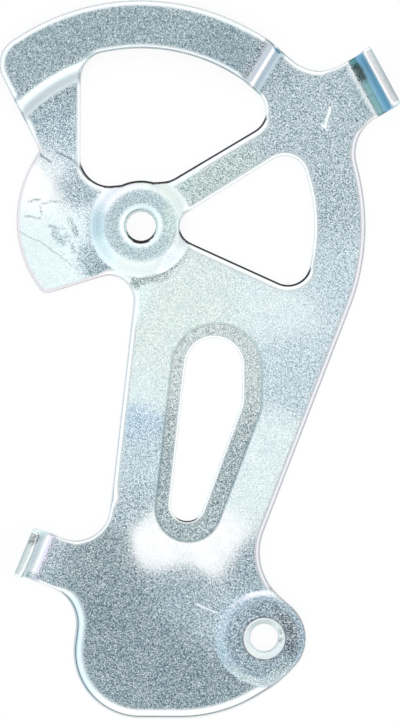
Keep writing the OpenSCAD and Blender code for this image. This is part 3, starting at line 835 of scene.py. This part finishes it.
class Graph:
    """Adds nodes to a tree. An input takes a plain value or another node's output."""

    def __init__(self, owner):
        owner.use_nodes = True
        self.tree = owner.node_tree
        self.tree.nodes.clear()

    def node(self, kind, inputs=(), **settings):
        node = self.tree.nodes.new("ShaderNode" + kind)
        for name, value in settings.items():
            setattr(node, name, value)
        for key, value in dict(inputs).items():
            self.feed(node.inputs[key], value)
        return node

    def feed(self, socket, value):
        if isinstance(value, bpy.types.NodeSocket):
            self.tree.links.new(value, socket)
        else:
            socket.default_value = value

    def noise(self, place, scale, detail=2.0, rough=0.5):
        return self.node("TexNoise", {"Vector": place, "Scale": scale, "Detail": detail, "Roughness": rough})

    def attribute(self, name):
        return self.node("Attribute", attribute_name=name).outputs

    def mix(self, share, a, b, kind="MIX"):
        return self.node("Mix", {0: share, 6: a, 7: b}, data_type="RGBA", blend_type=kind).outputs[2]

    def ramp(self, v, lo, hi, a=0.0, b=1.0):
        return self.node("MapRange", {0: v, 1: lo, 2: hi, 3: a, 4: b}).outputs[0]

    def math(self, operation, a, b):
        return self.node("Math", {0: a, 1: b}, operation=operation).outputs[0]

    def vector(self, operation, a, b):
        return self.node("VectorMath", {0: a, 1: b}, operation=operation).outputs

    def stroke(self, place, start, end, width, soft):
        """1 within a width of the line from start to end, in millimetres on the plate."""
        a, b = Vector((*start, 0)) * MM, Vector((*end, 0)) * MM
        rel = self.vector("SUBTRACT", place, a)[0]
        along = self.ramp(self.vector("DOT_PRODUCT", rel, (b - a) / (b - a).length_squared)[1], 0, 1)
        foot = self.node("VectorMath", {0: b - a, 3: along}, operation="SCALE").outputs[0]
        off = self.vector("SUBTRACT", rel, foot)[0]
        away = self.node("VectorMath", {0: off}, operation="LENGTH").outputs[1]
        return self.ramp(away, width * MM, (width + soft) * MM, 1.0, 0.0)


def zinc():
    """Bright zinc: pits and glints on the flats, a clear film on the bends, the marks, and painted shade
    along the edges.
    """
    material = bpy.data.materials.new("bright_zinc")
    g = Graph(material)
    place = g.node("TexCoord").outputs["Object"]
    smoothness, coat = g.attribute("polish")["Fac"], g.attribute("coat")["Color"]
    grain = g.noise(place, 6400, 1.0, 0.7).outputs[0]
    fleck = g.noise(place, 2600, 2.0, 0.6).outputs[0]
    cloud = g.noise(place, 260, 3.0, 0.65).outputs[0]
    tint = g.noise(place, 120).outputs[0]
    speck = g.math("ADD", g.math("MULTIPLY", grain, 0.72), g.math("MULTIPLY", fleck, 0.28))

    # pale coating has fewer pits
    red = g.node("SeparateColor", {0: coat}).outputs[0]
    pitted = g.math("MULTIPLY", g.ramp(speck, 0.39, 0.54, 1.0, 0.0), g.ramp(red, 0.60, 0.92, 1.0, 0.15))
    clouded = g.mix(g.ramp(cloud, 0.35, 0.65, 0.0, 0.22), coat, CLOUD_COLOUR)
    grained = g.mix(1.0, clouded, g.mix(pitted, (1, 1, 1, 1), PIT_COLOUR), "MULTIPLY")
    grained = g.mix(g.math("MULTIPLY", g.ramp(speck, 0.53, 0.64), 0.75), grained, GLINT_COLOUR)
    film = g.mix(0.95, g.mix(g.ramp(tint, 0.4, 0.6), FILM_BLUE, FILM_PINK), coat)
    colour = g.mix(smoothness, grained, film)

    wander = g.noise(place, 420).outputs["Color"]
    shake = g.vector("MULTIPLY", g.vector("SUBTRACT", wander, (0.5, 0.5, 0.5))[0], (0.0012, 0.0012, 0))[0]
    drawn_at = g.vector("ADD", g.vector("MULTIPLY", place, (1, 1, 0))[0], shake)[0]
    broken = g.ramp(speck, 0.42, 0.56, 1.0, 0.1)
    for start, end, width, soft, strength, tone in MARKS:
        mask = g.math("MULTIPLY", g.stroke(drawn_at, start, end, width, soft), strength)
        if soft > BROKEN_SOFT:
            mask = g.math("MULTIPLY", mask, broken)
        colour = g.mix(mask, colour, tone + (1,))
    # painted shade along the edges
    colour = g.mix(g.attribute("shaded_edge")["Fac"], colour, EDGE_SHADE_COLOUR)

    rough = g.math("ADD", g.ramp(speck, 0.4, 0.6, 0.30, 0.42), g.math("MULTIPLY", smoothness, -0.20))
    rough = g.math("ADD", rough, g.math("MULTIPLY", g.attribute("satin")["Fac"], 0.45))
    strength = g.ramp(smoothness, 0.0, 1.0, 0.9, 0.03)
    bump = g.node("Bump", {"Distance": GRAIN_HEIGHT, "Height": speck, "Strength": strength}).outputs[0]
    looks = {"Metallic": 1.0, "Base Color": colour, "Roughness": rough, "Normal": bump}
    g.node("OutputMaterial", {0: g.node("BsdfPrincipled", looks).outputs[0]})
    return material


steel = zinc()
mesh.materials.append(steel)
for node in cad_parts.values():
    node.data.materials.clear()
    node.data.materials.append(steel)

# The studio: a pale floor and a sky that is dark at the horizon, so the rolled edges stand out
FLOOR_GREY, FLOOR_WHITE_SHARE = 0.9, 0.9
SKY = [(0.0, 0.04), (0.08, 0.06), (0.20, 1.0), (0.36, 1.40), (0.90, 1.40), (0.97, 0.78), (1.0, 0.70)]
# Tints of the sky, seen in the rolled edges: direction and colour
SKY_TINTS = [((-1, 0, 0), (0.88, 0.96, 0.98)), ((0.99, -0.1, 0), (0.90, 0.89, 0.93)),
             ((0.7, 0.7, 0), (0.98, 1.0, 0.96)), ((-0.6, 0.8, 0), (0.94, 0.91, 0.98))]
WHITE = (1, 1, 1, 1)

bpy.ops.mesh.primitive_plane_add(size=4, location=(0, 0, 0))
floor = bpy.context.object
floor.name = "floor"
floor_material = bpy.data.materials.new("floor")
g = Graph(floor_material)
seen = g.node("LightPath").outputs["Is Camera Ray"]
lit = g.node("BsdfDiffuse", {0: (FLOOR_GREY, FLOOR_GREY, FLOOR_GREY, 1)}).outputs[0]
white = g.node("Emission", {0: WHITE, 1: 1.0}).outputs[0]
mixed = g.node("MixShader", {0: g.math("MULTIPLY", seen, FLOOR_WHITE_SHARE), 1: lit, 2: white})
g.node("OutputMaterial", {0: mixed.outputs[0]})
floor.data.materials.append(floor_material)

world = bpy.data.worlds.new("studio")
bpy.context.scene.world = world
g = Graph(world)
direction = g.node("TexCoord").outputs["Generated"]
height = g.node("SeparateXYZ", {0: direction}).outputs[2]
shades = g.node("ValToRGB", {0: height})
stops = shades.color_ramp.elements
while len(stops) < len(SKY):
    stops.new(0.5)
for stop, (position, shade) in zip(stops, SKY):
    stop.position = position
    stop.color = (shade, shade, shade, 1)
sky = shades.outputs[0]
for side, tone in SKY_TINTS:
    share = g.ramp(g.vector("DOT_PRODUCT", direction, side)[1], 0.3, 0.9)
    sky = g.mix(share, sky, tone + (1,), "MULTIPLY")
light, backdrop = g.node("Background", {0: sky}).outputs[0], g.node("Background", {0: WHITE}).outputs[0]
seen = g.node("LightPath").outputs["Is Camera Ray"]
g.node("OutputWorld", {0: g.node("MixShader", {0: seen, 1: light, 2: backdrop}).outputs[0]})

# The camera looks straight down. The picture is 721 px high, at 5.75 px to the millimetre.
CENTRE, DISTANCE, PICTURE_HEIGHT, SENSOR = (10.26, -23.39), 450, 721 / 5.75, 36
camera_data = bpy.data.cameras.new("camera")
camera = bpy.data.objects.new("camera", camera_data)
bpy.context.scene.collection.objects.link(camera)
bpy.context.scene.camera = camera
camera.location = (CENTRE[0] * MM, CENTRE[1] * MM, (DISTANCE + SHEET) * MM)
camera_data.sensor_width = SENSOR
camera_data.lens = SENSOR * DISTANCE / PICTURE_HEIGHT
camera_data.clip_start, camera_data.clip_end = 0.01, 10

bpy.context.scene.view_settings.view_transform = "Standard"
